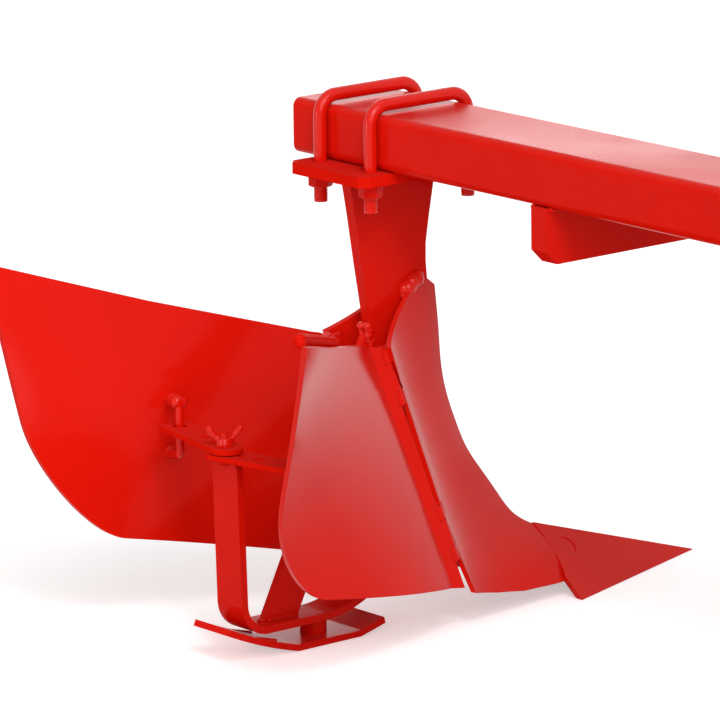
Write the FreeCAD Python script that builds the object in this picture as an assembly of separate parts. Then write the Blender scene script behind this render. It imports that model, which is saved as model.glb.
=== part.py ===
import FreeCAD, Part
import math
import os

# Two-row ridging plough for a three-point linkage.  Millimetres; +X is the way it travels,
# +Y its left side, +Z up.  The origin is on the ground, under the middle of the machine.
V = FreeCAD.Vector

# ---- driving dimensions: the whole machine
BODY_INBOARD = 252.0                 # from a ridging body's middle to its lower hitch arm's middle
HITCH_SPREAD = 683.0                 # between the shoulders of the two lower hitch pins
MAST_HEIGHT = 460.0                  # from the lower pins up to the top-link pin
TIP_X = 325.5                        # share tips ahead of the origin
BAR_WIDTH, BAR_HEIGHT = 100.0, 50.0  # toolbar tube
BAR_WALL, BAR_CORNER = 5.0, 8.0
BAR_BACK = 362.0                     # toolbar's middle behind the share tips
BAR_Z = 450.0                        # toolbar's middle above the ground
BAR_OVERHANG = 80.0                  # toolbar past each body's middle
ARM_THICK, ARM_HEIGHT = 20.0, 50.0   # lower hitch arms
LOWER_PIN_R, SHANK_R, TOP_PIN_R = 11.0, 9.0, 9.5

# ---- driving dimensions: one ridging body, measured back from its share tip
PLATE = 5.0                          # breast and wing plate
LEG_THICK = 12.0
ROD_R = 6.0                          # U-bolt rod
HINGE_TOP = V(-413.0, 36.5, 267.0)   # hinge line of the left wing, at the top of the breast
HINGE_LOW = V(-348.0, 73.0, 38.0)    # and near the ground
PIN_R, KNUCKLE_R = 4.0, 7.0
PIN_PLAY = 0.05
LUG = 12.0                           # from the hinge line to the end of a barrel's lug
STUD_X, STUD_R = -560.0, 4.0         # stud that clamps both adjusters
STRAP_WIDTH, STRAP_THICK = 35.0, 7.0
STRAP_TOP, STUD_TOP = 182.0, 207.0
BAR_FLAT, BAR_FLAT_THICK = 29.0, 5.0  # adjuster bars

ARM_MID = HITCH_SPREAD / 2 - ARM_THICK / 2
BODY_Y = ARM_MID + BODY_INBOARD
BAR_X = -BAR_BACK                    # toolbar middle, seen from a share tip

os.makedirs("parts", exist_ok=True)


def export(name, shape, offset):
    solid = shape.copy()
    solid.translate(offset)
    solid.exportStep(f"parts/{name}.step")


def block(x0, x1, y0, y1, z0, z1):
    return Part.makeBox(x1 - x0, y1 - y0, z1 - z0, V(x0, y0, z0))


def rod(start, end, radius):
    line = end - start
    return Part.makeCylinder(radius, line.Length, start, line)


def outline_xz(points, y0, y1):
    """A flat plate with its outline in X and Z, from y0 to y1."""
    corners = [V(x, y0, z) for x, z in points]
    face = Part.Face(Part.makePolygon(corners + corners[:1]))
    return face.extrude(V(0, y1 - y0, 0))


def outline_yz(points, x0, x1):
    """A flat plate with its outline in Y and Z, from x0 to x1."""
    corners = [V(x0, y, z) for y, z in points]
    face = Part.Face(Part.makePolygon(corners + corners[:1]))
    return face.extrude(V(x1 - x0, 0, 0))


def outline_xy(points, z0, z1):
    """A flat plate with its outline in X and Y, from z0 to z1."""
    corners = [V(x, y, z0) for x, y in points]
    face = Part.Face(Part.makePolygon(corners + corners[:1]))
    return face.extrude(V(0, 0, z1 - z0))


def chamfered(x0, x1, y0, y1, cut):
    """The outline of a rectangle with its four corners cut off."""
    return [(x0 + cut, y0), (x1 - cut, y0), (x1, y0 + cut), (x1, y1 - cut),
            (x1 - cut, y1), (x0 + cut, y1), (x0, y1 - cut), (x0, y0 + cut)]


def mirrored(shape):
    """The right-hand copy of a left-hand piece."""
    return shape.mirror(V(0, 0, 0), V(0, 1, 0))


def largest(shape):
    return max(shape.Solids, key=lambda solid: solid.Volume)


def hinge_point(z):
    """The left hinge line at height z."""
    share = (z - HINGE_LOW.z) / (HINGE_TOP.z - HINGE_LOW.z)
    return HINGE_LOW + (HINGE_TOP - HINGE_LOW) * share


# ---- wings: twisted plates that stand open most at the top and curl in towards the lower rear
OPEN, OPEN_RISE, OPEN_CURVE = 0.690, 0.103, 0.027    # slope behind the flange, and its growth
CURL, CURL_RISE = 0.995, -0.513                      # per metre, and its change upwards
MID_Z, RISE_UNIT = 150.0, 100.0                      # height of these values, and unit of growth
WING_LEVELS = (20.0, 80.0, 140.0, 200.0, 260.0, 320.0, 360.0)
WING_TOP, WING_LOW = 268.0, 42.0                     # height of the flange's front corners
TOP_STEP, LOW_STEP = 2.7, 2.5                        # how much higher the fold's two ends are
FLANGE = 17.0                                        # bent front edge, in line with the travel
FLANGE_OUT = 2.0                                     # from the hinge line to the flange


def wing_inner(run, z):
    """The inner face, run mm behind the hinge line at height z."""
    hinge = hinge_point(z)
    up = (z - MID_Z) / RISE_UNIT
    slope = OPEN + OPEN_RISE * up + OPEN_CURVE * up * up
    curl = (CURL + CURL_RISE * up) / 1000.0
    back = run - FLANGE
    return V(hinge.x - run, hinge.y + FLANGE_OUT + (slope - curl * back) * back, z)


def band(points, thick):
    """A thin closed outline at one height: a curve through points and its offset by thick."""
    outer = []
    for i, p in enumerate(points):
        along = points[min(i + 1, len(points) - 1)] - points[max(i - 1, 0)]
        normal = V(along.y, -along.x, 0).normalize()
        outer.append(p + normal * thick)
    inner_curve = Part.BSplineCurve()
    inner_curve.interpolate(points)
    outer_curve = Part.BSplineCurve()
    outer_curve.interpolate(outer)
    return Part.Wire([inner_curve.toShape(), Part.makeLine(points[-1], outer[-1]),
                      outer_curve.toShape(), Part.makeLine(outer[0], points[0])])


def wing_outline():
    """The wing's side outline behind its flange, as a prism across the machine."""
    top_front = hinge_point(WING_TOP) + V(-FLANGE, 0, TOP_STEP)
    low_front = hinge_point(WING_LOW) + V(-FLANGE, 0, LOW_STEP)
    top_rear, rear_low, bottom = V(-651, 0, 335.6), V(-644.6, 0, 196.7), V(-565.1, 0, 83.4)
    corner = Part.BezierCurve()
    corner.setPoles([rear_low, V(-642.1, 0, 145), V(-596, 0, 89.4), bottom])
    arc = corner.toShape()
    top_mid = V(-542.5, 0, 301.1)
    wire = Part.Wire([Part.makeLine(V(top_front.x, 0, top_front.z), top_mid),
                      Part.makeLine(top_mid, top_rear),
                      Part.makeLine(top_rear, rear_low), arc,
                      Part.makeLine(bottom, V(low_front.x, 0, low_front.z)),
                      Part.makeLine(V(low_front.x, 0, low_front.z),
                                    V(top_front.x, 0, top_front.z))])
    return Part.Face(wire).extrude(V(0, 400, 0))


def wing_flange():
    """The bent front edge, beside the knuckles, with its top corner cut off."""
    corners = [hinge_point(z) + V(-run, FLANGE_OUT, 0)
               for run, z in ((FLANGE + 1, WING_LOW + LOW_STEP), (2.0, WING_LOW),
                              (2.0, WING_TOP - 9.0), (3.5, WING_TOP - 1.0),
                              (FLANGE + 1, WING_TOP + TOP_STEP))]
    return Part.Face(Part.makePolygon(corners + corners[:1])).extrude(V(0, PLATE, 0))


def wing_plate():
    runs = (0.0, 40.0, 100.0, 160.0, 220.0, 280.0, 340.0)
    sections = [band([wing_inner(run, z) for run in runs], PLATE) for z in WING_LEVELS]
    sheet = Part.makeLoft(sections, True, False)
    return sheet.common(wing_outline()).fuse(wing_flange())


# ---- breast: two curved halves that meet in the ridge
RIDGE = ((312.0, -316.7), (302.0, -316.0), (263.0, -312.0), (230.0, -309.5), (200.0, -303.0),
         (171.0, -292.0), (146.0, -280.0), (120.0, -261.0), (95.0, -242.0), (70.0, -218.5))
BELOW_SHARE = (50.0, 30.0, 8.0)      # levels where the share covers the front of the breast
TUCK_X, TUCK_Y, TUCK_SLOPE = -190.0, 61.5, 1.0857
BREAST_HOLLOW = 3.0
BREAST_TOP_REAR = (-359.0, 303.0)    # where its rear edge leaves the leg
BREAST_REAR = ((312.0, -424.0, 44.5), (285.0, -413.6, 46.6), (267.0, -408.3, 48.1),
               (232.0, -397.6, 48.9), (204.0, -389.1, 51.4), (160.0, -376.4, 56.6),
               (116.0, -363.9, 62.9), (85.0, -355.0, 68.8), (60.0, -347.2, 74.5),
               (38.0, -340.0, 79.7), (8.0, -330.0, 86.5))


def breast_rear(z):
    """The outer rear edge at height z, between the measured levels either side of it."""
    for (z1, x1, y1), (z0, x0, y0) in zip(BREAST_REAR, BREAST_REAR[1:]):
        if z >= z0:
            break
    share = (z - z0) / (z1 - z0)
    return V(x0 + (x1 - x0) * share, y0 + (y1 - y0) * share, z)


def breast_section(z, front):
    rear = breast_rear(z)
    ahead = (front - rear).normalize() * (2 * PLATE)
    middle = (front + rear) * 0.5 + V(-BREAST_HOLLOW, -BREAST_HOLLOW, 0)
    return band([front + ahead, front, middle, rear], -PLATE)


def breast_half():
    fronts = [V(x, 0, z) for z, x in RIDGE]
    fronts += [V(TUCK_X, TUCK_Y - TUCK_SLOPE * z, z) for z in BELOW_SHARE]
    sheet = Part.makeLoft([breast_section(front.z, front) for front in fronts], True, False)
    side = outline_xz([(-330.0, 312.0), (-315.0, 302.0), (-100.0, 200.0), (-100.0, 10.0),
                       (-215.0, 15.0), (-262.0, 18.5), (-300.0, 25.5), (-345.0, 36.5),
                       (-440.0, 60.0), (-440.0, 244.0), BREAST_TOP_REAR], 0.0, 200.0)
    return sheet.common(side)


# ---- share: a roof-shaped point with a scalloped back
SHARE_BACK, SHARE_HALF, SHARE_RISE = 209.0, 66.0, 64.0
SHARE_CORNER_X = -199.0
SHARE_THICK = 6.0
SCALLOP_R, SCALLOP_X, SCALLOP_Y = 50.0, -246.0, 22.0
BOLT_R = 9.5
FACE = V(0.2193, 0.6612, 0.7179)     # outward from the share's left face
SHARE_BOLT = V(-172.0, 16.3, 37.5)


def share_block():
    tip, top = V(0, 0, 0), V(-SHARE_BACK, 0, SHARE_RISE)
    left, right = V(SHARE_CORNER_X, SHARE_HALF, 0), V(SHARE_CORNER_X, -SHARE_HALF, 0)
    faces = [Part.Face(Part.makePolygon(c + c[:1]))
             for c in ([tip, left, top], [tip, top, right], [left, right, top], [tip, right, left])]
    roof = Part.Solid(Part.Shell(faces))
    scallops = [Part.makeCylinder(SCALLOP_R, 80.0, V(SCALLOP_X, side * SCALLOP_Y, -5.0))
                for side in (-1, 1)]
    return roof.cut(scallops)


def share_bolt(depth, lift=0.0):
    return rod(SHARE_BOLT - FACE * depth, SHARE_BOLT + FACE * lift, BOLT_R)


def share_solid():
    outer = share_block()
    inner = outer.copy()
    inner.translate(V(-SHARE_THICK * 3.2, 0, -SHARE_THICK * 0.3))
    hole = share_bolt(12.0, 5.0)
    return outer.cut([inner, hole, mirrored(hole)])


def share_bolts():
    head = share_bolt(12.0, -0.8).common(share_block())
    return Part.makeCompound([head, mirrored(head)])


# ---- clamp
def u_bolt(y):
    bend = 18.0
    half = BAR_WIDTH / 2 + ROD_R + 0.5
    top = BAR_Z + BAR_HEIGHT / 2 + 2.2 + ROD_R
    low = BAR_Z - BAR_HEIGHT / 2 - 36.5
    corner = bend * (1 - math.sqrt(0.5))
    legs = []
    for side in (-1, 1):
        x = BAR_X + side * half
        legs.append((V(x, y, low), V(x, y, top - bend),
                     V(x - side * corner, y, top - corner), V(x - side * bend, y, top)))
    rear, front = legs
    wire = Part.Wire([Part.makeLine(rear[0], rear[1]),
                      Part.Arc(rear[1], rear[2], rear[3]).toShape(),
                      Part.makeLine(rear[3], front[3]),
                      Part.Arc(front[3], front[2], front[1]).toShape(),
                      Part.makeLine(front[1], front[0])])
    circle = Part.Wire([Part.makeCircle(ROD_R, rear[0], V(0, 0, 1))])
    return wire.makePipeShell([circle], True, False)


U_Y = 34.7
U_X = BAR_WIDTH / 2 + ROD_R + 0.5
CLAMP_TOP = BAR_Z - BAR_HEIGHT / 2
CLAMP_THICK = 10.0
NUT_HEIGHT, NUT_FLATS = 10.0, 19.0


def hexagon(centre, flats, height):
    radius = flats / math.sqrt(3)
    corners = [centre + V(radius * math.cos(math.radians(60 * i)),
                          radius * math.sin(math.radians(60 * i)), 0) for i in range(6)]
    return Part.Face(Part.makePolygon(corners + corners[:1])).extrude(V(0, 0, height))


def clamp_plate():
    plate = outline_xy(chamfered(BAR_X - 80.0, BAR_X + 80.0, -53.5, 53.5, 8.0),
                       CLAMP_TOP - CLAMP_THICK, CLAMP_TOP)
    for sx in (-1, 1):
        for sy in (-1, 1):
            plate = plate.cut(rod(V(BAR_X + sx * U_X, sy * U_Y, 380.0),
                                  V(BAR_X + sx * U_X, sy * U_Y, 440.0), ROD_R + 0.5))
    return plate


def clamp_nuts():
    pieces = []
    for sx in (-1, 1):
        for sy in (-1, 1):
            x, y = BAR_X + sx * U_X, sy * U_Y
            under = CLAMP_TOP - CLAMP_THICK
            washer = rod(V(x, y, under - 2.5), V(x, y, under), 12.0)
            nut = hexagon(V(x, y, under - 2.5 - NUT_HEIGHT), NUT_FLATS, NUT_HEIGHT)
            hole = rod(V(x, y, under - 20), V(x, y, under + 5), ROD_R + 0.02)
            pieces.append(washer.fuse(nut).cut(hole))
    return Part.makeCompound(pieces)


def leg_solid():
    under = CLAMP_TOP - CLAMP_THICK
    outline = [(-419.0, under), (-412.8, 380.0), (-406.0, 337.0), (-399.0, 296.0),
               (-394.0, 266.0), (-386.6, 220.6), (-372.0, 165.0), (-345.0, 105.0),
               (-300.0, 58.0), (-262.0, 50.0), (-240.0, 66.0), (-262.0, 90.0),
               (-290.0, 122.0), (-318.0, 172.0), (-331.0, 215.0), (-336.0, 240.0),
               (-340.0, 296.0), (-330.0, 312.0), (-331.3, 328.0), (-331.0, 345.0),
               (-327.0, 369.0), (-321.3, 399.0), (-318.8, under)]
    return outline_xz(outline, -LEG_THICK / 2, LEG_THICK / 2)


# ---- heel: brace, bent strap with the stud, plate and skid under it
STRUT_THICK = 8.0
SKID_WIDTH, SKID_THICK = 50.0, 6.0
RUN_Z = 20.0                         # underside of the strap where it runs level
BOSS_X, BOSS_R = -462.7, 12.0


def strut_solid():
    outline = [(-396.5, 279.0), (-522.0, 27.0), (-483.5, 27.0), (-386.6, 220.6)]
    return outline_xz(outline, -STRUT_THICK / 2, STRUT_THICK / 2)


def line_xz(x0, z0, x1, z1):
    return Part.makeLine(V(x0, 0, z0), V(x1, 0, z1))


def arc_xz(x0, z0, x1, z1, x2, z2):
    return Part.Arc(V(x0, 0, z0), V(x1, 0, z1), V(x2, 0, z2)).toShape()


def bent_flat(path, thick, width):
    """Flat bar bent along a path in X and Z, with its thickness on one side of it."""
    face = Part.Wire(path).makeOffset2D(thick, fill=True, openResult=True)
    bar = face.extrude(V(0, width, 0))
    bar.translate(V(0, -width / 2, 0))
    return bar


def heel_strap():
    path = [line_xz(-561.0, STRAP_TOP, -557.6, 48.0),
            arc_xz(-557.6, 48.0, -550.4, 30.4, -530.0, RUN_Z),
            line_xz(-530.0, RUN_Z, -462.0, RUN_Z),
            arc_xz(-462.0, RUN_Z, -433.0, 24.6, -405.0, 36.8),
            line_xz(-405.0, 36.8, -318.0, 88.0)]
    strap = bent_flat(path, STRAP_THICK, STRAP_WIDTH)
    for side in (-1, 1):
        corner = outline_yz([(side * 12.5, 190.0), (side * 12.5, STRAP_TOP),
                             (side * 18.0, 174.0), (side * 20.0, 190.0)], -570.0, -545.0)
        strap = strap.cut(corner)
    stud = rod(V(STUD_X, 0, STRAP_TOP - 6.0), V(STUD_X, 0, STUD_TOP), STUD_R)
    collar = rod(V(STUD_X, 0, STRAP_TOP - 4.0), V(STUD_X, 0, STRAP_TOP), 8.0)
    return strap.fuse([stud, collar])


def heel_skid():
    """The sole under the heel: turned up at both ends, with a boss up to the strap."""
    path = [arc_xz(-579.3, 28.3, -545.0, 14.0, -500.0, 0.0), line_xz(-500.0, 0.0, -427.0, 0.0),
            line_xz(-427.0, 0.0, -399.0, 7.4)]
    skid = bent_flat(path, SKID_THICK, SKID_WIDTH)
    boss = rod(V(BOSS_X, 0, SKID_THICK - 1), V(BOSS_X, 0, RUN_Z), BOSS_R)
    return skid.fuse(boss)


# ---- adjusters
EYE = V(-543.0, 86.0, 0.0)
STAPLE_R = 4.0
STAPLE_LOW, STAPLE_TOP = 167.0, 215.0
LEVELS = (188.7, 182.6)              # undersides of the left bar and of the right bar
SLOT = 40.0                          # travel of the bar over the stud
SLOT_PLAY = 0.5
WASHER_R, THIN_WASHER, NUT_WASHER = 9.0, 0.9, 1.5


def adjuster(level, end, rounded):
    """A bar from the stud to the left wing's eye, reaching end mm past the stud."""
    stud = V(STUD_X, 0, level)
    eye = V(EYE.x, EYE.y, level)
    along = (eye - stud).normalize()
    across = V(-along.y, along.x, 0)
    up = V(0, 0, BAR_FLAT_THICK)
    half = BAR_FLAT / 2

    def strip(start, finish, half_width, height):
        corners = [start + across * half_width, finish + across * half_width,
                   finish - across * half_width, start - across * half_width]
        return Part.Face(Part.makePolygon(corners + corners[:1])).extrude(height)

    if rounded:
        turn = stud - along * (end - half)
        bar = strip(turn, eye, half, up).fuse(Part.makeCylinder(half, up.z, turn))
    else:
        bar = strip(stud - along * end, eye, half, up)
    bar = bar.fuse(strip(eye, eye + along * half, half, up))
    below = V(0, 0, -1)
    through = up - below * 2
    slot_end = stud + along * SLOT
    radius = STUD_R + SLOT_PLAY
    slot = strip(stud + below, slot_end + below, radius, through)
    holes = [Part.makeCylinder(r, through.z, p + below)
             for r, p in ((radius, stud), (radius, slot_end), (STAPLE_R + 2.2, eye))]
    return bar.cut([slot] + holes)


def ring(centre, r_in, r_out, height):
    return Part.makeCylinder(r_out, height, centre).cut(Part.makeCylinder(r_in, height, centre))


def wing_eye():
    """The rod staple welded inside the left wing, as three straight rods."""
    low, top = V(EYE.x, EYE.y, STAPLE_LOW), V(EYE.x, EYE.y, STAPLE_TOP)
    to_wing = V(0.43, 0.9, -0.18)
    arms = [rod(p, p + to_wing * 75.0, STAPLE_R) for p in (low, top)]
    balls = [Part.makeSphere(STAPLE_R, p) for p in (low, top)]
    return rod(low, top, STAPLE_R).fuse(arms + balls)


RAIL_R, RAIL_BEND = 5.5, 12.0
RAIL = ((-632.0, 335.0), (-590.0, 321.0), (-546.0, 306.8), (-503.0, 292.6))


def wing_rail():
    """The rod along the inner top edge of the right wing, drawn for the left."""
    inward = V(-0.55, -0.83, 0) * (RAIL_R + 0.1)
    places = [wing_inner(hinge_point(z).x - x, z) + inward for x, z in RAIL]
    runs = [places[0] - V(0, 0, RAIL_BEND)] + places
    bars = [rod(a, b, RAIL_R) for a, b in zip(runs, runs[1:])]
    bends = [Part.makeSphere(RAIL_R, p) for p in runs[1:-1]]
    return bars[0].fuse(bars[1:] + bends)


def wing_nut(level):
    body = rod(V(STUD_X, 0, level), V(STUD_X, 0, level + 6.0), 8.3)
    ears = []
    for side in (-1, 1):
        root = V(STUD_X + side * 4.2, -side * 3.5, level + 3.5)
        tip = V(STUD_X + side * 11.0, -side * 9.1, level + 13.5)
        ears += [rod(root, tip, 3.3), Part.makeSphere(3.3, tip)]
    return body.fuse(ears).cut(rod(V(STUD_X, 0, level), V(STUD_X, 0, level + 30.0), STUD_R + 0.02))


HINGES = (238.0, 92.0)               # heights of the two hinges of a wing
WING_BARRELS = ((-13.0, 13.0),)      # stretches of barrel along the hinge line
BREAST_BARRELS = ((-27.0, -13.3), (13.3, 27.0))
NOTCH_PLAY = 1.3
AXIS = (HINGE_TOP - HINGE_LOW).normalize()


def barrel(z, low, high):
    mid = hinge_point(z)
    return rod(mid + AXIS * low, mid + AXIS * high, KNUCKLE_R)


def web(z, low, high, direction):
    """The lug that joins a barrel to the plate beside it."""
    mid = hinge_point(z)
    a, b = mid + AXIS * low, mid + AXIS * high
    square = (direction - AXIS * direction.dot(AXIS)).normalize()
    side = square * LUG
    half = AXIS.cross(square) * 2.0
    corners = [a - half, a + half, a + half + side, a - half + side]
    return Part.Face(Part.makePolygon(corners + corners[:1])).extrude(b - a)


def hinged(plate, bands, others, direction):
    """A plate with its own barrels on it, and notches round the barrels of the other plate."""
    mids = [hinge_point(z) for z in HINGES]
    for mid in mids:
        for low, high in others:
            plate = plate.cut(rod(mid + AXIS * (low - 0.3), mid + AXIS * (high + 0.3),
                                  KNUCKLE_R + NOTCH_PLAY))
    for z in HINGES:
        for low, high in bands:
            plate = plate.fuse([barrel(z, low, high), web(z, low, high, direction)])
    return plate.cut([rod(mid - AXIS * 40, mid + AXIS * 40, PIN_R + PIN_PLAY) for mid in mids])


def hinge_pins():
    pins = []
    for z in HINGES:
        mid = hinge_point(z)
        pins.append(rod(mid - AXIS * 29, mid + AXIS * 29, PIN_R))
    return pins


TO_FLANGE = V(-0.93, 0.36, 0).normalize()
TO_BREAST = V(0.93, -0.36, 0).normalize()
breast = hinged(breast_half().cut(share_block()), BREAST_BARRELS, WING_BARRELS, TO_BREAST)
wing = hinged(wing_plate(), WING_BARRELS, BREAST_BARRELS, TO_FLANGE)
pins = hinge_pins()
breasts = [breast, mirrored(breast)]
leg = leg_solid().cut(breasts)
strut = strut_solid().cut([leg] + breasts)
strap = heel_strap().cut([leg, strut] + breasts)
eye = largest(wing_eye().cut(wing))
rail = mirrored(largest(wing_rail().cut(wing)))
NUT_Z = LEVELS[0] + BAR_FLAT_THICK + NUT_WASHER + 0.1
pieces = {
    "leg": leg, "clamp_plate": clamp_plate(),
    "u_bolts": Part.makeCompound([u_bolt(-U_Y), u_bolt(U_Y)]), "clamp_nuts": clamp_nuts(),
    "breast_left": breast, "breast_right": mirrored(breast),
    "share": share_solid(), "share_bolts": share_bolts(),
    "strut": strut, "heel_strap": strap, "heel_skid": heel_skid().cut(strap),
    "wing_left": wing, "wing_right": mirrored(wing),
    "hinge_pins": Part.makeCompound(pins + [mirrored(p) for p in pins]),
    "wing_eye_left": eye, "wing_eye_right": mirrored(eye), "wing_rail_right": rail,
    "adjuster_left": adjuster(LEVELS[0], 18.0, True),
    "adjuster_right": mirrored(adjuster(LEVELS[1], 10.0, False)),
    "washer_left": ring(V(STUD_X, 0, LEVELS[0] + BAR_FLAT_THICK + 0.05), STUD_R + 0.05,
                        WASHER_R, NUT_WASHER),
    "washer_right": ring(V(STUD_X, 0, LEVELS[1] + BAR_FLAT_THICK + 0.1), STUD_R + 0.05,
                         WASHER_R, THIN_WASHER),
    "wing_nut": wing_nut(NUT_Z),
}
for row, side in (("row1", 1), ("row2", -1)):
    for name, shape in pieces.items():
        export(f"{row}_{name}", shape, V(TIP_X, side * BODY_Y, 0))

# ---- toolbar and headstock
BAR_MID = V(TIP_X + BAR_X, 0, BAR_Z)
half_length = BODY_Y + BAR_OVERHANG


def rounded_tube(width, height, corner, y0, y1):
    tube = block(BAR_MID.x - width / 2, BAR_MID.x + width / 2, y0, y1,
                 BAR_Z - height / 2, BAR_Z + height / 2)
    edges = [e for e in tube.Edges if abs(e.tangentAt(e.FirstParameter).y) > 0.9]
    return tube.makeFillet(corner, edges)


tube = rounded_tube(BAR_WIDTH, BAR_HEIGHT, BAR_CORNER, -half_length, half_length)
bore = rounded_tube(BAR_WIDTH - 2 * BAR_WALL, BAR_HEIGHT - 2 * BAR_WALL, BAR_CORNER - BAR_WALL,
                    -half_length + 4.0, half_length - 4.0)
export("toolbar", tube.cut(bore), V(0, 0, 0))

PIN_X = BAR_MID.x + 190.0
PIN_LENGTH = 90.0
ARM_TOP = BAR_Z - BAR_HEIGHT / 2
PIN_Z = ARM_TOP - ARM_HEIGHT / 2
for side, name in ((1, "left"), (-1, "right")):
    y = side * ARM_MID
    arm = outline_xz([(BAR_MID.x - 50.0, ARM_TOP), (BAR_MID.x - 50.0, ARM_TOP - 38.0),
                      (BAR_MID.x - 38.0, ARM_TOP - ARM_HEIGHT), (PIN_X + 15, ARM_TOP - ARM_HEIGHT),
                      (PIN_X + 30.0, ARM_TOP - 35), (PIN_X + 30.0, ARM_TOP - 15),
                      (PIN_X + 15, ARM_TOP)],
                     y - ARM_THICK / 2, y + ARM_THICK / 2)
    shoulder = y + side * ARM_THICK / 2
    pin = rod(V(PIN_X, shoulder, PIN_Z), V(PIN_X, shoulder + side * PIN_LENGTH, PIN_Z), LOWER_PIN_R)
    shank = rod(V(PIN_X, shoulder - side * 36.0, PIN_Z), V(PIN_X, shoulder, PIN_Z), SHANK_R)
    nut = outline_xz([(PIN_X + 16.0 * math.cos(math.radians(60 * i)),
                       PIN_Z + 16.0 * math.sin(math.radians(60 * i))) for i in range(6)],
                     min(shoulder - side * 34.0, shoulder - side * ARM_THICK),
                     max(shoulder - side * 34.0, shoulder - side * ARM_THICK))
    pin = pin.fuse([shank, nut])
    arm = arm.cut(rod(V(PIN_X, y - 30, PIN_Z), V(PIN_X, y + 30, PIN_Z), SHANK_R))
    export(f"hitch_arm_{name}", arm, V(0, 0, 0))
    export(f"lower_pin_{name}", pin, V(0, 0, 0))

TOP_Z = PIN_Z + MAST_HEIGHT
TOP_X = PIN_X - 60.0
BAR_TOP = BAR_Z + BAR_HEIGHT / 2
MAST_GAP, MAST_THICK = 52.0, 12.0
for side, name in ((1, "left"), (-1, "right")):
    y0 = side * MAST_GAP / 2
    y1 = side * (MAST_GAP / 2 + MAST_THICK)
    plate = outline_xz([(BAR_MID.x - 45.0, BAR_TOP), (BAR_MID.x + 45.0, BAR_TOP),
                        (TOP_X + 28.0, TOP_Z), (TOP_X + 14.0, TOP_Z + 26.0),
                        (TOP_X - 14.0, TOP_Z + 26.0), (TOP_X - 28.0, TOP_Z)],
                       min(y0, y1), max(y0, y1))
    plate = plate.cut(rod(V(TOP_X, -60, TOP_Z), V(TOP_X, 60, TOP_Z), TOP_PIN_R + 0.3))
    export(f"mast_plate_{name}", plate, V(0, 0, 0))
spacer = block(BAR_MID.x - 10.0, BAR_MID.x + 30.0, -MAST_GAP / 2, MAST_GAP / 2,
               BAR_TOP + 150.0, BAR_TOP + 160.0)
export("mast_spacer", spacer, V(0, 0, 0))
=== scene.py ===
import math
import random

import bpy
from mathutils import Matrix, Vector


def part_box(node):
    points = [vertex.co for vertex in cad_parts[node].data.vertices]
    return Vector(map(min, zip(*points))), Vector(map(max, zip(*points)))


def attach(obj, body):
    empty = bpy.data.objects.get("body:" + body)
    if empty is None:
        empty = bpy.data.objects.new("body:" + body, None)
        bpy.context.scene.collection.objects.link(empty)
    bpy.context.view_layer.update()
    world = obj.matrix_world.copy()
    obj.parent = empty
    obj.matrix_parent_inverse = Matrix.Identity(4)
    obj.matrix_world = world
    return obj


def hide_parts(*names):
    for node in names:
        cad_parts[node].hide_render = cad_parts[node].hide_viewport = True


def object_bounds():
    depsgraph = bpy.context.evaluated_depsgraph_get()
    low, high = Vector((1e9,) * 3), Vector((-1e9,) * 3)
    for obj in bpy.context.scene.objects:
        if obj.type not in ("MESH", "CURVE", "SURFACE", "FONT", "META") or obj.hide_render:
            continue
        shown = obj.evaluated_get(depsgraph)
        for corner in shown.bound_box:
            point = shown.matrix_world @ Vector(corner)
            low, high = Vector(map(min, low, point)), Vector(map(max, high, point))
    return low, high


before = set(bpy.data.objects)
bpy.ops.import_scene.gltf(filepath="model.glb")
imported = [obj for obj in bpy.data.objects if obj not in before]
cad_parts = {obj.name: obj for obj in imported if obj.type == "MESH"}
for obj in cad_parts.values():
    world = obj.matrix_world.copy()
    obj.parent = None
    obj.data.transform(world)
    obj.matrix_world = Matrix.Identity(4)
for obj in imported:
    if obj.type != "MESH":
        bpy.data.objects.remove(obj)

cad_low, cad_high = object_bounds()

# ---- Where it is seen from: behind its right side, a little above, through a very long lens,
# with the left ridging body in the middle of the view.
LENS, SENSOR, SEES_TO = 318.45, 36.0, 60.0
CAMERA_PLACE = (-3.610255, -3.687479, 1.537127)
CAMERA_RIGHT = (0.7687548, -0.63942059, -0.01254457)
CAMERA_UP = (0.15442842, 0.16655842, 0.97386352)
CAMERA_BACK = (-0.62061898, -0.75059949, 0.2267873)

camera_data = bpy.data.cameras.new("camera")
camera_data.sensor_width = SENSOR
camera_data.lens = LENS
camera_data.clip_end = SEES_TO
camera = bpy.data.objects.new("camera", camera_data)
bpy.context.scene.collection.objects.link(camera)
turned = Matrix((CAMERA_RIGHT, CAMERA_UP, CAMERA_BACK)).transposed().to_4x4()
camera.matrix_world = Matrix.Translation(CAMERA_PLACE) @ turned
bpy.context.scene.camera = camera

# ---- Shader nodes: one call makes a node with its settings, and gives its inputs their numbers,
# their colours or what other nodes put out.


def feed(tree, socket, value):
    if isinstance(value, bpy.types.NodeSocket):
        tree.links.new(value, socket)
    else:
        socket.default_value = value


def shader_node(tree, kind, inputs=None, **settings):
    made = tree.nodes.new("ShaderNode" + kind)
    for name, value in settings.items():
        setattr(made, name, value)
    for name, value in (inputs or {}).items():
        feed(tree, made.inputs[name], value)
    return made


# ---- The studio: a pale floor it stands on, white all round, a wide soft sun above its right
# side, a pale panel low ahead of it, and two small bright lamps, one behind and one above it,
# that give round rods and weld lumps their highlights.
FLOOR_SIZE, FLOOR_Z = 60.0, -0.0005
PAPER, PAPER_GLOW = (0.88, 0.88, 0.88, 1), 0.46
WHITE, WHITE_AS_LIGHT, WHITE_AS_SEEN = (1, 1, 1, 1), 0.32, 1.0
SUN_PLACE, SUN_POWER, SUN_WIDTH = (-1.3, -2.5, 2.1), 1.95, math.radians(55)


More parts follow.
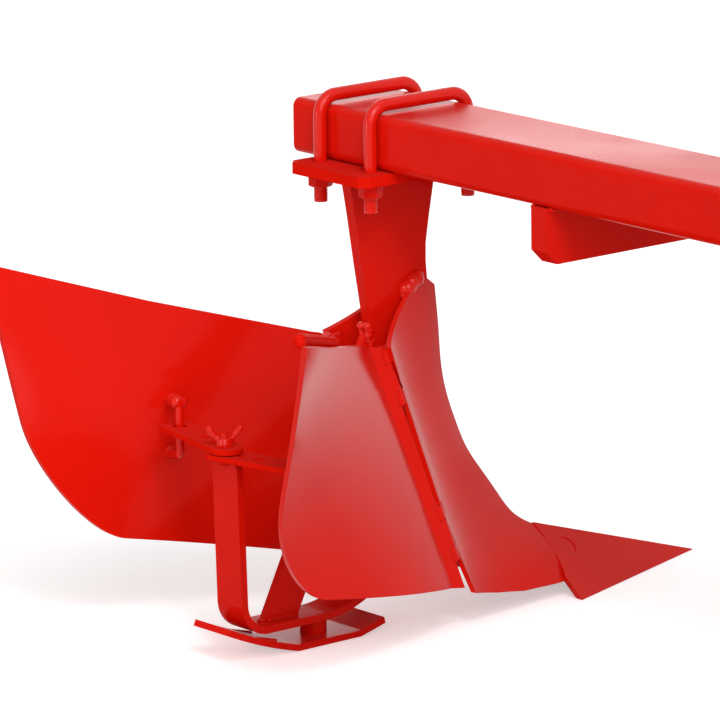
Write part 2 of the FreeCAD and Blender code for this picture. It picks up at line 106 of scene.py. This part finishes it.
def white_to_the_eye(tree):
    """1 for rays from the camera and for those that gloss or glass sends on, else 0."""
    ray = shader_node(tree, "LightPath").outputs
    seen = shader_node(tree, "Math", {0: ray["Is Camera Ray"], 1: ray["Is Glossy Ray"]},
                       operation="MAXIMUM").outputs[0]
    return shader_node(tree, "Math", {0: seen, 1: ray["Is Transmission Ray"]},
                       operation="MAXIMUM").outputs[0]


def studio_floor():
    bpy.ops.mesh.primitive_plane_add(size=FLOOR_SIZE, location=(0, 0, FLOOR_Z))
    floor = bpy.context.object
    floor.name = "floor"
    material = bpy.data.materials.new("floor_paper")
    material.use_nodes = True
    tree = material.node_tree
    tree.nodes.clear()
    paper = shader_node(tree, "BsdfDiffuse", {"Color": PAPER}).outputs[0]
    glow = shader_node(tree, "Emission", {"Strength": PAPER_GLOW}).outputs[0]
    glowing = shader_node(tree, "AddShader", {0: paper, 1: glow}).outputs[0]
    shown = shader_node(tree, "MixShader", {0: white_to_the_eye(tree), 1: paper, 2: glowing})
    shader_node(tree, "OutputMaterial", {"Surface": shown.outputs[0]})
    floor.data.materials.append(material)


def studio_world():
    world = bpy.data.worlds.new("studio")
    bpy.context.scene.world = world
    world.use_nodes = True
    tree = world.node_tree
    background = tree.nodes["Background"]
    strength = shader_node(tree, "MapRange", {"Value": white_to_the_eye(tree),
                                              "To Min": WHITE_AS_LIGHT, "To Max": WHITE_AS_SEEN})
    feed(tree, background.inputs["Color"], WHITE)
    feed(tree, background.inputs["Strength"], strength.outputs["Result"])


def aimed(name, lamp_data, place, aim):
    lamp = bpy.data.objects.new(name, lamp_data)
    lamp.location = place
    lamp.rotation_euler = (Vector(aim) - Vector(place)).to_track_quat("-Z", "Y").to_euler()
    bpy.context.scene.collection.objects.link(lamp)


def studio_sun():
    lamp_data = bpy.data.lights.new("soft_sun", "SUN")
    lamp_data.energy = SUN_POWER
    lamp_data.angle = SUN_WIDTH
    aimed("soft_sun", lamp_data, SUN_PLACE, (0, 0, 0))


def studio_panel(name, place, aim, size, power):
    lamp_data = bpy.data.lights.new(name, "AREA")
    lamp_data.shape = "RECTANGLE"
    lamp_data.size, lamp_data.size_y = size
    lamp_data.energy = power
    aimed(name, lamp_data, place, aim)


studio_floor()
studio_world()
studio_sun()
studio_panel("panel_ahead", place=(3.4, 4.2, 1.3), aim=(0, 0.4, 0.7), size=(3.2, 1.6), power=40.0)
studio_panel("strip_behind", place=(-2.8, 1.02, 0.5), aim=(0, 0.5, 0.7), size=(0.5, 1.0),
             power=13.0)
studio_panel("spark_above", place=(-1.5, -1.9, 3.0), aim=(-0.2, 0.5, 0.5), size=(0.6, 0.6),
             power=30.0)
bpy.context.scene.view_settings.view_transform = "Standard"

# ---- The enamel: sprayed glossy red over welded steel, with a faint orange peel, pale specks
# where the coat is thin, a little dust on what faces up, and edges that the coat rounds off.
# Gloss differs with the form: the coat pools on rods and stays thin on flat bars.
FULL_RED, SPECK_RED = (0.66, 0.0075, 0.0022), (0.74, 0.035, 0.02, 1)
DARKER, LIGHTER, TONE_SCALE, TONE_DETAIL = 0.93, 1.06, 14.0, 3.0
DUST, DUST_SHOWS, DUST_DULLS, DUST_LIES_FROM = (0.62, 0.42, 0.36, 1), 0.05, 0.25, 0.35
DUST_SCALE, DUST_DETAIL = 9.0, 6.0
SPECK_SCALE, SPECK_RIM, SPECK_CORE = 60.0, 0.045, 0.02
PEEL_SCALE, PEEL_DETAIL, PEEL_HEIGHT, PEEL_SHOWS = 420.0, 1.5, 0.0004, 0.04
COAT_EDGE, EDGE_SAMPLES = 0.0006, 4


def dust_and_peel():
    """A node group: dust mask, speck mask and the fine height of sprayed enamel."""
    group = bpy.data.node_groups.new("dust_and_peel", "ShaderNodeTree")
    for name in ("Dust", "Specks", "Height"):
        group.interface.new_socket(name, in_out="OUTPUT", socket_type="NodeSocketFloat")
    out = group.nodes.new("NodeGroupOutput")
    place = shader_node(group, "TexCoord").outputs["Object"]

    peel = shader_node(group, "TexNoise",
                       {"Vector": place, "Scale": PEEL_SCALE, "Detail": PEEL_DETAIL})
    feed(group, out.inputs["Height"], peel.outputs["Fac"])

    cells = shader_node(group, "TexVoronoi", {"Vector": place, "Scale": SPECK_SCALE}, feature="F1")
    dot = shader_node(group, "MapRange", {"Value": cells.outputs["Distance"],
                                          "From Min": SPECK_RIM, "From Max": SPECK_CORE})
    feed(group, out.inputs["Specks"], dot.outputs["Result"])

    patches = shader_node(group, "TexNoise",
                          {"Vector": place, "Scale": DUST_SCALE, "Detail": DUST_DETAIL})
    facing = shader_node(group, "NewGeometry").outputs["Normal"]
    upward = shader_node(group, "SeparateXYZ", {0: facing}).outputs["Z"]
    lying = shader_node(group, "MapRange", {"Value": upward, "From Min": DUST_LIES_FROM,
                                            "From Max": 1.0})
    dust = shader_node(group, "Math", {0: lying.outputs["Result"], 1: patches.outputs["Fac"]},
                       operation="MULTIPLY")
    feed(group, out.inputs["Dust"], dust.outputs[0])
    return group


DUST_AND_PEEL = dust_and_peel()


def enamel(name, gloss=1.11, rough=0.17):
    """The enamel as a material; gloss is its index of refraction."""
    material = bpy.data.materials.new(name)
    material.use_nodes = True
    tree = material.node_tree
    effects = shader_node(tree, "Group", node_tree=DUST_AND_PEEL).outputs
    place = shader_node(tree, "TexCoord").outputs["Object"]

    shade = shader_node(tree, "TexNoise",
                        {"Vector": place, "Scale": TONE_SCALE, "Detail": TONE_DETAIL})
    tone = shader_node(tree, "Mix", {"Factor": shade.outputs["Fac"],
                                     "A": (*[c * DARKER for c in FULL_RED], 1),
                                     "B": (*[c * LIGHTER for c in FULL_RED], 1)},
                       data_type="RGBA")
    amount = shader_node(tree, "Math", {0: effects["Dust"], 1: DUST_SHOWS}, operation="MULTIPLY")
    dusty = shader_node(tree, "Mix", {"Factor": amount.outputs[0], "A": tone.outputs["Result"],
                                      "B": DUST}, data_type="RGBA")
    speckled = shader_node(tree, "Mix", {"Factor": effects["Specks"],
                                         "A": dusty.outputs["Result"], "B": SPECK_RED},
                           data_type="RGBA")
    dull = shader_node(tree, "MapRange", {"Value": effects["Dust"], "To Min": rough,
                                          "To Max": rough + DUST_DULLS})
    rounded = shader_node(tree, "Bevel", {"Radius": COAT_EDGE}, samples=EDGE_SAMPLES)
    peel = shader_node(tree, "Bump", {"Strength": PEEL_SHOWS, "Distance": PEEL_HEIGHT,
                                      "Height": effects["Height"],
                                      "Normal": rounded.outputs["Normal"]})
    coat = tree.nodes["Principled BSDF"].inputs
    feed(tree, coat["IOR"], gloss)
    feed(tree, coat["Base Color"], speckled.outputs["Result"])
    feed(tree, coat["Roughness"], dull.outputs["Result"])
    feed(tree, coat["Normal"], peel.outputs["Normal"])
    return material


RED = enamel("red_enamel_sprayed")
SHEET_RED = enamel("red_enamel_on_sheet", gloss=1.16, rough=0.15)
ROUND_RED = enamel("red_enamel_pooled_on_rods", gloss=1.3, rough=0.15)
BAR_RED = enamel("red_enamel_thin_on_bars", gloss=1.02, rough=0.25)
COATS = ((SHEET_RED, ("wing_left", "wing_right", "breast", "share")),
         (ROUND_RED, ("u_bolts", "pin", "washer")),
         (BAR_RED, ("clamp_plate",)))


def coated(piece, material):
    piece.data.materials.clear()
    piece.data.materials.append(material)
    for face in piece.data.polygons:
        face.material_index = 0


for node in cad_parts.values():
    coated(node, RED)
    for coat, words in COATS:
        if any(word in node.name for word in words):
            coated(node, coat)

# ---- How pieces are finished: their modifiers applied, lumps run together under one skin, sharp
# edges softened, and each piece given its name, its enamel and its body.


def only(piece):
    """Selects this piece alone and makes it the active one."""
    bpy.ops.object.select_all(action="DESELECT")
    piece.select_set(True)
    bpy.context.view_layer.objects.active = piece


def finish_modifiers(piece):
    only(piece)
    for modifier in list(piece.modifiers):
        bpy.ops.object.modifier_apply(modifier=modifier.name)


def run_together(piece, voxel, calming):
    """One smooth skin over all that a piece is made of."""
    skin = piece.modifiers.new("skin", "REMESH")
    skin.mode = "VOXEL"
    skin.voxel_size = voxel
    skin.use_smooth_shade = True
    calm = piece.modifiers.new("calm", "SMOOTH")
    calm.iterations = calming
    finish_modifiers(piece)


def softening(piece, width):
    """A modifier that rounds the sharp edges off."""
    soften = piece.modifiers.new("soften", "BEVEL")
    soften.width = width
    soften.segments = 2
    return soften


def joined(pieces):
    bpy.ops.object.select_all(action="DESELECT")
    for piece in pieces:
        piece.select_set(True)
    bpy.context.view_layer.objects.active = pieces[0]
    bpy.ops.object.join()
    return bpy.context.object


def line_through(points, name):
    """A curve that runs straight from point to point."""
    line_data = bpy.data.curves.new(name, "CURVE")
    line_data.dimensions = "3D"
    run = line_data.splines.new("POLY")
    run.points.add(len(points) - 1)
    for point, place in zip(run.points, points):
        point.co = (*place, 1)
    line = bpy.data.objects.new(name, line_data)
    bpy.context.scene.collection.objects.link(line)
    return line


def settle(piece, name, body, *replaced, coat=RED):
    """Gives a finished piece its name, its enamel and its body."""
    only(piece)
    bpy.ops.object.transform_apply(location=True, rotation=True, scale=True)
    piece.name = piece.data.name = name
    coated(piece, coat)
    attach(piece, body)
    if replaced:
        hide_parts(*replaced)


# ---- Welds, as laid by hand: a bead is a row of leaning ripples, a lump is several balls of
# metal on one another or along a run. The enamel covers both.
BEAD_STEP, RIPPLE_SHAPE, RIPPLE_LEAN = 0.0024, (0.62, 1.0, 0.6), math.radians(24)
BEAD_VOXEL, BEAD_CALM = 0.0007, 5
LUMP_SPREAD, LUMP_VOXEL, LUMP_CALM = 0.26, 0.0006, 7


def weld_bead(path, width):
    """A bead laid along a path: overlapping ripples, run together."""
    length = sum((Vector(b) - Vector(a)).length for a, b in zip(path, path[1:]))
    bpy.ops.mesh.primitive_uv_sphere_add(segments=12, ring_count=8, radius=width / 2)
    bead = bpy.context.object
    bpy.ops.object.mode_set(mode="EDIT")
    bpy.ops.transform.resize(value=RIPPLE_SHAPE)
    bpy.ops.transform.rotate(value=RIPPLE_LEAN, orient_axis="Y", center_override=(0, 0, 0))
    bpy.ops.object.mode_set(mode="OBJECT")
    line = line_through(path, "bead_path")
    ripples = bead.modifiers.new("ripples", "ARRAY")
    ripples.use_relative_offset = False
    ripples.use_constant_offset = True
    ripples.constant_offset_displace = (BEAD_STEP, 0, 0)
    ripples.count = max(2, round(length / BEAD_STEP))
    along = bead.modifiers.new("along", "CURVE")
    along.object = line
    run_together(bead, BEAD_VOXEL, BEAD_CALM)
    bpy.data.objects.remove(line)
    return bead


def weld_lump(place, sizes, seed, run=Vector((0, 0, 0))):
    """A lump of weld: balls of metal on one another, or along a run, run together."""
    chance = random.Random(seed)
    balls = []
    for i, size in enumerate(sizes):
        bpy.ops.mesh.primitive_uv_sphere_add(segments=16, ring_count=10, radius=size)
        ball = bpy.context.object
        aside = Vector([chance.uniform(-1, 1) for _ in range(3)]) * sizes[0] * LUMP_SPREAD
        aside += run * (i / (len(sizes) - 1) - 0.5)
        ball.data.transform(Matrix.Translation(Vector(place) + aside))
        balls.append(ball)
    lump = joined(balls)
    run_together(lump, LUMP_VOXEL, LUMP_CALM)
    return lump


# ---- Toolbar and headstock: rectangular steel tube, two hitch arms under it and two mast plates
# on it with a spacer between them, all joined by weld beads.
bar_low, bar_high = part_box("toolbar")
ARM_BEAD, ARM_END_BEAD, MAST_BEAD, SPACER_BEAD = 0.0075, 0.0085, 0.008, 0.006
OFF_BAR, OFF_PLATE, OFF_SPACER, OFF_END = 0.0012, 0.001, 0.0008, 0.0005
ARM_BEAD_FROM, ARM_BEAD_TO, MAST_BEAD_IN = 0.004, 0.007, 0.006


def headstock_welds():
    beads = []
    for name in ("hitch_arm_left", "hitch_arm_right"):
        low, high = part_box(name)
        z = bar_low.z - OFF_BAR
        for y in (low.y - OFF_PLATE, high.y + OFF_PLATE):
            beads.append(weld_bead([(low.x + ARM_BEAD_FROM, y, z),
                                    (bar_high.x - ARM_BEAD_TO, y, z)], ARM_BEAD))
        beads.append(weld_bead([(bar_high.x + OFF_END, y, z - OFF_END)
                                for y in (low.y, high.y)], ARM_END_BEAD))
    for name in ("mast_plate_left", "mast_plate_right"):
        low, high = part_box(name)
        for y in (low.y - OFF_PLATE, high.y + OFF_PLATE):
            beads.append(weld_bead([(x, y, bar_high.z + OFF_BAR) for x in
                                    (bar_low.x + MAST_BEAD_IN, bar_high.x - MAST_BEAD_IN)],
                                   MAST_BEAD))
    low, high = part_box("mast_spacer")
    for y in (low.y + OFF_PLATE, high.y - OFF_PLATE):
        for z in (low.z - OFF_SPACER, high.z + OFF_SPACER):
            beads.append(weld_bead([(low.x, y, z), (high.x, y, z)], SPACER_BEAD))
    settle(joined(beads), "headstock_welds", "frame")


headstock_welds()

# ---- Clamp of each body: two M12 U-bolts over the toolbar, their threaded ends through the
# clamp plate, each with a flat washer and a chamfered hexagon nut, all painted in place.
U_ROD, PITCH = 0.006, 0.00175
THREAD_CREST, THREAD_ROOT = 0.0063, 0.0058       # the enamel has filled the thread half up
BARE_END, INTO_NUT = 0.003, 0.0004
NUT_HEIGHT, NUT_CORNER, WASHER_R, WASHER_THICK = 0.010, 0.01097, 0.012, 0.0025
NUT_FACE_R = NUT_CORNER * 0.88                   # what the chamfer leaves of each end face
CONE_OUT, CONE_HIGH = 0.02, 0.011                # the cones that the chamfer is cut with
NUT_EDGE, WASHER_EDGE, TIP_EDGE = 0.0004, 0.0005, 0.0008
NUT_TURNS = (-10, -4, 13, 31)                    # degrees, as a spanner left them
CREST_FROM, CREST_TO, ROOT_FROM = 0.4, 0.55, 0.95        # of the pitch, down one tooth


def hex_nut(place, turn):
    """A nut with both ends of its corners chamfered off, and a washer above it."""
    bpy.ops.mesh.primitive_cylinder_add(vertices=6, radius=NUT_CORNER, depth=NUT_HEIGHT,
                                        location=(0, 0, -WASHER_THICK - NUT_HEIGHT / 2),
                                        rotation=(0, 0, turn))
    nut = bpy.context.object
    bpy.ops.object.transform_apply(location=True, rotation=True)
    cones = []
    for low_r, top_r, z in (
            (NUT_FACE_R + CONE_OUT, NUT_FACE_R, -WASHER_THICK - CONE_HIGH / 2),
            (NUT_FACE_R, NUT_FACE_R + CONE_OUT, -WASHER_THICK - NUT_HEIGHT + CONE_HIGH / 2)):
        bpy.ops.mesh.primitive_cone_add(vertices=48, radius1=low_r, radius2=top_r,
                                        depth=CONE_HIGH, location=(0, 0, z))
        cones.append(bpy.context.object)
        chamfer = nut.modifiers.new("chamfer", "BOOLEAN")
        chamfer.operation = "INTERSECT"
        chamfer.object = cones[-1]
    softening(nut, NUT_EDGE)
    finish_modifiers(nut)
    for cone in cones:
        bpy.data.objects.remove(cone)
    bpy.ops.mesh.primitive_cylinder_add(vertices=48, radius=WASHER_R, depth=WASHER_THICK,
                                        location=(0, 0, -WASHER_THICK / 2))
    washer = bpy.context.object
    softening(washer, WASHER_EDGE)
    finish_modifiers(washer)
    nut = joined([nut, washer])
    nut.location = place
    bpy.ops.object.transform_apply(location=True)
    return nut


def thread(place, radius, root, pitch, length):
    """A screw thread running down from place, wound from one tooth's outline."""
    outline = [(root, 0, 0), (radius, 0, -pitch * CREST_FROM), (radius, 0, -pitch * CREST_TO),
               (root, 0, -pitch * ROOT_FROM)]
    mesh = bpy.data.meshes.new("tooth")
    mesh.from_pydata(outline, [(0, 1), (1, 2), (2, 3)], [])
    tooth = bpy.data.objects.new("tooth", mesh)
    bpy.context.scene.collection.objects.link(tooth)
    wind = tooth.modifiers.new("wind", "SCREW")
    wind.axis = "Z"
    wind.screw_offset = -pitch
    wind.iterations = int(length / pitch)
    wind.steps = wind.render_steps = 24
    wind.use_merge_vertices = True
    wind.use_smooth_shade = False
    finish_modifiers(tooth)
    bpy.ops.mesh.primitive_cylinder_add(vertices=24, radius=root, depth=length + pitch,
                                        location=(0, 0, -(length + pitch) / 2))
    core = bpy.context.object
    softening(core, TIP_EDGE)
    finish_modifiers(core)
    piece = joined([tooth, core])
    piece.location = place
    bpy.ops.object.transform_apply(location=True)
    bpy.ops.object.mode_set(mode="EDIT")
    bpy.ops.mesh.select_all(action="SELECT")
    bpy.ops.mesh.normals_make_consistent(inside=False)
    bpy.ops.object.mode_set(mode="OBJECT")
    return piece


def u_bolt_legs(row):
    """Where the four legs of a body's two U-bolts stand."""
    low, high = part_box(f"{row}_u_bolts")
    return [(x, y) for x in (low.x + U_ROD, high.x - U_ROD)
            for y in (low.y + U_ROD, high.y - U_ROD)]


def clamp_nuts(row):
    under_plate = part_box(f"{row}_clamp_plate")[0].z
    nuts = [hex_nut((x, y, under_plate), math.radians(turn))
            for (x, y), turn in zip(u_bolt_legs(row), NUT_TURNS)]
    settle(joined(nuts), f"{row}_clamp_hex_nuts", "frame", f"{row}_clamp_nuts")


def clamp_threads(row):
    under_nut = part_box(f"{row}_clamp_nuts")[0].z
    length = under_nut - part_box(f"{row}_u_bolts")[0].z - BARE_END
    ends = [thread((x, y, under_nut - INTO_NUT), THREAD_CREST, THREAD_ROOT, PITCH, length)
            for x, y in u_bolt_legs(row)]
    settle(joined(ends), f"{row}_clamp_threads", "frame")


for fit in (clamp_nuts, clamp_threads):
    for row in ("row1", "row2"):
        fit(row)

# ---- Places on a ridging body are in mm: behind its share tip, left of its middle and above
# ground. What is built on the left body is copied to the right one.
MM = 0.001
leg_low, leg_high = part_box("row1_leg")
FRONT_ROW = Vector((cad_high.x, (leg_low.y + leg_high.y) / 2, 0))
ROW_STEP = Vector((0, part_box("row2_leg")[0].y - leg_low.y, 0))


def on_body(x, y, z):
    return FRONT_ROW + Vector((x, y, z)) * MM


def copy_of(piece, shift):
    """Another of the same piece, with its own mesh, moved by shift."""
    other = piece.copy()
    other.data = piece.data.copy()
    other.data.transform(Matrix.Translation(shift))
    bpy.context.scene.collection.objects.link(other)
    return other


def both_rows(piece, name, body, *replaced, coat=ROUND_RED):
    """Fastens a piece to the left ridging body, and the same piece to the right one."""
    other = copy_of(piece, ROW_STEP)
    for row, one in (("row1", piece), ("row2", other)):
        settle(one, f"{row}_{name}", body if body == "frame" else f"{row}_{body}",
               *[f"{row}_{node}" for node in replaced], coat=coat)


# ---- Leg, breast and heel: flat steel and rolled plate, tacked and welded together by hand, the
# beads left as laid and painted over.
LEG_BEAD, HEEL_BEAD, STRUT_END_BEAD = 0.0075, 0.0065, 0.006
BREAST_LUMP = (0.0058, 0.0064, 0.0068, 0.0066, 0.0066, 0.0068, 0.0062, 0.0054)
BREAST_LUMP_RUN = Vector((0.0185, 0, 0.0128))
LEG_LUMP = [0.0046 - 0.0002 * (i % 3) for i in range(11)]
LEG_LUMP_RUN = Vector((-0.010, 0, 0.036))


def body_welds():
    beads = []
    for side in (-1, 1):
        leg_to_plate = [on_body(x, side * 6.8, 414) for x in (-417, -321)]
        strut_to_strap = [on_body(x, side * 4.6, 28) for x in (-518, -486)]
        strap_to_skid = [on_body(-540, side * 17.8, 17.5), on_body(-519, side * 17.6, 12)]
        breast_top, leg_rear = on_body(-350.5, side * 8.6, 309.5), on_body(-394, side * 4.0, 259)
        beads += [weld_bead(leg_to_plate, LEG_BEAD),
                  weld_lump(breast_top, BREAST_LUMP, 3 + side, BREAST_LUMP_RUN),
                  weld_lump(leg_rear, LEG_LUMP, 8 + side, LEG_LUMP_RUN),
                  weld_bead(strut_to_strap, HEEL_BEAD),
                  weld_bead(strap_to_skid, HEEL_BEAD)]
    leg_front_end = [on_body(-320, -5, 413.5), on_body(-319, 5, 413.5)]
    strut_rear_end = [on_body(-523, y, 28) for y in (-3, 3)]
    beads += [weld_bead(leg_front_end, LEG_BEAD), weld_bead(strut_rear_end, STRUT_END_BEAD)]
    both_rows(joined(beads), "body_welds", "frame")


body_welds()

# ---- Adjusters: two flat bars from the stud to the wings, punched with a row of three holes so
# that each wing can be set wider or narrower, the one over the other under one wing nut. The
# left bar's stud end is round, the right one's is square with its corners eased. All in mm.
STUD, EYE_PLACE = (-560.0, 0.0), (-543.0, 86.0)
HOLES, HOLE_STEP, HOLE_R, EYE_HOLE_R = 3, 19.5, 4.6, 6.2
BAR_HALF, BAR_THICK, BAR_EDGE, PUNCH_LONG = 14.5, 5.0, 0.7, 20.0
ROUND_END, EASED_END, END_SEGMENTS = 0.985, 0.12, 12     # of half the bar's width
PAST_STUD = {"left": 18.0, "right": 10.0}


def adjuster_bar(hand, side):
    """A bar from past the stud to the eye on its wing's staple."""
    low_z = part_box(f"row1_adjuster_{hand}")[0].z / MM
    stud = on_body(STUD[0], 0, low_z)
    eye = on_body(EYE_PLACE[0], side * EYE_PLACE[1], low_z)
    along = (eye - stud).normalized()
    reach, end = (eye - stud).length / MM, PAST_STUD[hand]
    bpy.ops.mesh.primitive_cube_add(size=1.0)
    bar = bpy.context.object
    bar.scale = ((reach + BAR_HALF + end) * MM, 2 * BAR_HALF * MM, BAR_THICK * MM)
    bar.location = ((reach + BAR_HALF - end) / 2 * MM, 0, BAR_THICK / 2 * MM)
    bpy.ops.object.transform_apply(location=True, scale=True)
    weights = bar.data.attributes.new("bevel_weight_edge", "FLOAT", "EDGE")
    for edge in bar.data.edges:
        a, b = [bar.data.vertices[i].co for i in edge.vertices]
        upright, at_stud = abs((a - b).z) > BAR_THICK / 2 * MM, a.x < reach / 2 * MM
        if upright:
            weights.data[edge.index].value = 1.0 if at_stud and hand == "left" else EASED_END
    ends = bar.modifiers.new("ends", "BEVEL")
    ends.limit_method = "WEIGHT"
    ends.width = BAR_HALF * ROUND_END * MM
    ends.segments = END_SEGMENTS
    finish_modifiers(bar)
    punches = []
    for place, radius in [(HOLE_STEP * i, HOLE_R) for i in range(HOLES)] + [(reach, EYE_HOLE_R)]:
        bpy.ops.mesh.primitive_cylinder_add(vertices=40, radius=radius * MM,
                                            depth=PUNCH_LONG * MM,
                                            location=(place * MM, 0, BAR_THICK / 2 * MM))
        punches.append(bpy.context.object)
    punched = bar.modifiers.new("punched", "BOOLEAN")
    punched.object = joined(punches)
    softening(bar, BAR_EDGE * MM).angle_limit = math.radians(40)
    finish_modifiers(bar)
    bpy.data.objects.remove(punches[0])
    bar.data.transform(Matrix.Translation(stud)
                       @ Matrix.Rotation(math.atan2(along.y, along.x), 4, "Z"))
    return bar


for hand, side in (("left", 1), ("right", -1)):
    both_rows(adjuster_bar(hand, side), f"adjuster_bar_{hand}", f"{hand}_bar",
              f"adjuster_{hand}", coat=BAR_RED)

# ---- Wing nut and stud: a cast nut with two ears, spun down on the threaded stud. Each ear is
# cast from balls that climb outwards: how far out, how high and how large each is, in mm.
EAR = ((4.6, 3.4, 3.0), (6.6, 5.4, 2.8), (8.6, 7.6, 2.8),
       (10.6, 9.8, 3.0), (12.4, 12.0, 3.2), (13.6, 13.6, 2.9))
EAR_SHAPE, NUT_TURN = (1.0, 0.62, 1.1), math.atan2(-0.64, 0.77)
HUB_LOW_R, HUB_TOP_R, HUB_HIGH = 0.0083, 0.0066, 0.006
CAST_VOXEL, CAST_CALM, BORE_R, BORE_LONG = 0.0005, 6, 0.00412, 0.04
STUD_CREST, STUD_ROOT, STUD_PITCH, STUD_LONG, INTO_STRAP = 0.0043, 0.0037, 0.00125, 0.010, 0.0006


def wing_nut():
    bpy.ops.mesh.primitive_cone_add(vertices=32, radius1=HUB_LOW_R, radius2=HUB_TOP_R,
                                    depth=HUB_HIGH, location=(0, 0, HUB_HIGH / 2))
    parts = [bpy.context.object]
    for side in (-1, 1):
        for out, height, radius in EAR:
            bpy.ops.mesh.primitive_uv_sphere_add(segments=20, ring_count=12, radius=radius * MM,
                                                 location=(side * out * MM, 0, height * MM))
            ball = bpy.context.object
            ball.scale = EAR_SHAPE
            bpy.ops.object.transform_apply(location=True, scale=True)
            parts.append(ball)
    nut = joined(parts)
    run_together(nut, CAST_VOXEL, CAST_CALM)
    bpy.ops.mesh.primitive_cylinder_add(vertices=32, radius=BORE_R, depth=BORE_LONG)
    drill = bpy.context.object
    bore = nut.modifiers.new("bore", "BOOLEAN")
    bore.operation = "DIFFERENCE"
    bore.object = drill
    finish_modifiers(nut)
    bpy.data.objects.remove(drill)
    stud, seat = on_body(*STUD, 0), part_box("row1_wing_nut")[0].z
    nut.data.transform(Matrix.Translation((stud.x, stud.y, seat))
                       @ Matrix.Rotation(NUT_TURN, 4, "Z"))
    return nut


def stud_thread():
    stud, top = on_body(*STUD, 0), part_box("row1_heel_strap")[1].z
    return thread((stud.x, stud.y, top - INTO_STRAP), STUD_CREST, STUD_ROOT, STUD_PITCH, STUD_LONG)


both_rows(wing_nut(), "cast_wing_nut", "frame", "wing_nut")
both_rows(stud_thread(), "stud_thread", "frame")

# ---- Staples: round rod bent square and welded by both ends inside each wing; the adjuster's
# end hole drops over its upright.
ROD_R, ROD_BEND, BEND_STEPS = 0.004, 0.006, 10
STAPLE_LOW, STAPLE_TOP = 167.0, 215.0
TO_WING = (Vector((0.43, 0.9, -0.18)).normalized(), Vector((0.51, 0.85, -0.18)).normalized())
INTO_WING, FOOT_LUMP, FOOT_LUMP_BACK = 0.001, (0.0064, 0.0054, 0.005), 0.0088
TOP_LUMP, TOP_LUMP_ON = (0.005, 0.006, 0.0058, 0.0062, 0.005), 0.002
TOP_LUMP_RUN = Vector((0.0066, -0.0055, 0))


def bent_rod(path, radius, bend):
    """Round rod along straight runs, its corners bent to a radius."""
    rounded = [Vector(path[0])]
    for before, here, after in zip(path, path[1:], path[2:]):
        here, a, b = Vector(here), Vector(before), Vector(after)
        enter = here + (a - here).normalized() * bend
        leave = here + (b - here).normalized() * bend
        for i in range(BEND_STEPS + 1):
            t = i / BEND_STEPS
            rounded.append(enter * (1 - t) ** 2 + here * 2 * t * (1 - t) + leave * t ** 2)
    rounded.append(Vector(path[-1]))
    line = line_through(rounded, "rod")
    line.data.bevel_depth = radius
    line.data.bevel_resolution = 6
    line.data.use_fill_caps = True
    only(line)
    bpy.ops.object.convert(target="MESH")
    rod = bpy.context.object
    bpy.ops.object.shade_smooth_by_angle(angle=math.radians(50))
    return rod


def reach_to(node_name, start, direction):
    """How far it is from start to a CAD node, along a direction."""
    found, place, _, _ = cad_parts[node_name].ray_cast(start, direction)
    assert found, f"{node_name} isn't met from {start}"
    return (place - start).length


def staple(hand):
    """The left staple, or its mirror image for the right wing."""
    ends = [on_body(*EYE_PLACE, z) for z in (STAPLE_LOW, STAPLE_TOP)]
    feet = [end + way * (reach_to("row1_wing_left", end, way) + INTO_WING)
            for end, way in zip(ends, TO_WING)]
    pieces = [bent_rod([feet[0], *ends, feet[1]], ROD_R, ROD_BEND)]
    for i, (foot, way) in enumerate(zip(feet, TO_WING)):
        pieces.append(weld_lump(foot - way * FOOT_LUMP_BACK, FOOT_LUMP, 20 + i))
    pieces.append(weld_lump(ends[1] + TO_WING[1] * TOP_LUMP_ON, TOP_LUMP, 27, TOP_LUMP_RUN))
    piece = joined(pieces)
    if hand == "right":
        piece.data.transform(Matrix.Translation((0, 2 * FRONT_ROW.y, 0))
                             @ Matrix.Diagonal((1, -1, 1, 1)))
        piece.data.flip_normals()
    return piece


for hand in ("left", "right"):
    both_rows(staple(hand), f"staple_{hand}", f"{hand}_wing", f"wing_eye_{hand}")

# ---- Edge rod: round bar along the inner top edge of each right wing, its rear end left round
# at the corner, tacked there and at its front end.
UNDER_REAR_END, ROD_THICK = 0.0118, 0.011
SAME_POINT, ROD_VOXEL, ROD_CALM = 0.00001, 0.0008, 14
REAR_TACK, FRONT_TACK = (0.0044, 0.004, 0.0036), (0.0046, 0.004)


def edge_rod():
    """The CAD rod without the foot below its rear end, under one smooth skin."""
    piece = copy_of(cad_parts["row1_wing_rail_right"], Vector((0, 0, 0)))
    low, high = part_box("row1_wing_rail_right")
    slope = (high.z - low.z - ROD_THICK) / (high.x - low.x)
    only(piece)
    bpy.ops.object.mode_set(mode="EDIT")
    bpy.ops.mesh.select_all(action="SELECT")
    bpy.ops.mesh.remove_doubles(threshold=SAME_POINT)
    bpy.ops.mesh.select_all(action="SELECT")
    bpy.ops.mesh.bisect(plane_co=(low.x, low.y, high.z - UNDER_REAR_END),
                        plane_no=(slope, 0, 1), clear_inner=True, use_fill=True)
    bpy.ops.object.mode_set(mode="OBJECT")
    run_together(piece, ROD_VOXEL, ROD_CALM)
    corner = Vector((low.x + 0.0055, low.y + 0.0036, high.z - 0.0085))
    front = Vector((high.x - 0.004, high.y - 0.006, low.z + 0.006))
    return joined([piece, weld_lump(corner, REAR_TACK, 31), weld_lump(front, FRONT_TACK, 33)])


both_rows(edge_rod(), "edge_rod_right", "right_wing", "wing_rail_right", coat=BAR_RED)
